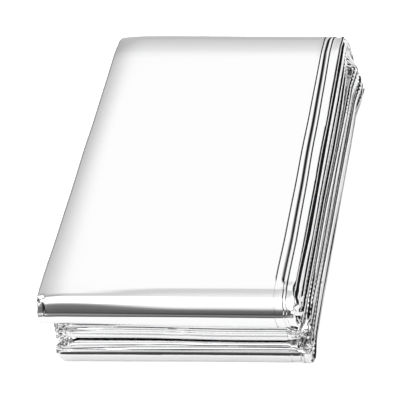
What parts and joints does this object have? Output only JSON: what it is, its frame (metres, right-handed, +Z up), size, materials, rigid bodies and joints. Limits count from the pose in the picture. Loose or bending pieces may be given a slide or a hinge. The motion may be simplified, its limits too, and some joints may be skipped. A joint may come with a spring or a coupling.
{
  "type": "emergency foil blanket",
  "caption": "Silver foil survival blanket, pleated and folded into a flat rectangular packet with stepped edges and bare silver folds.",
  "frame": {"origin": "middle of the packet's bounding box at its underside", "axes": "+X towards the side with the stepped pleat edges, +Y towards the back, where the last fold is, +Z up"},
  "size_m": [0.0838, 0.137, 0.0262],
  "materials": {
    "silver_foil": "bright silver aluminium-coated film, nearly smooth"
  },
  "bodies": {
    "root": {"foil_blanket": "silver_foil"}
  },
  "joints": []
}
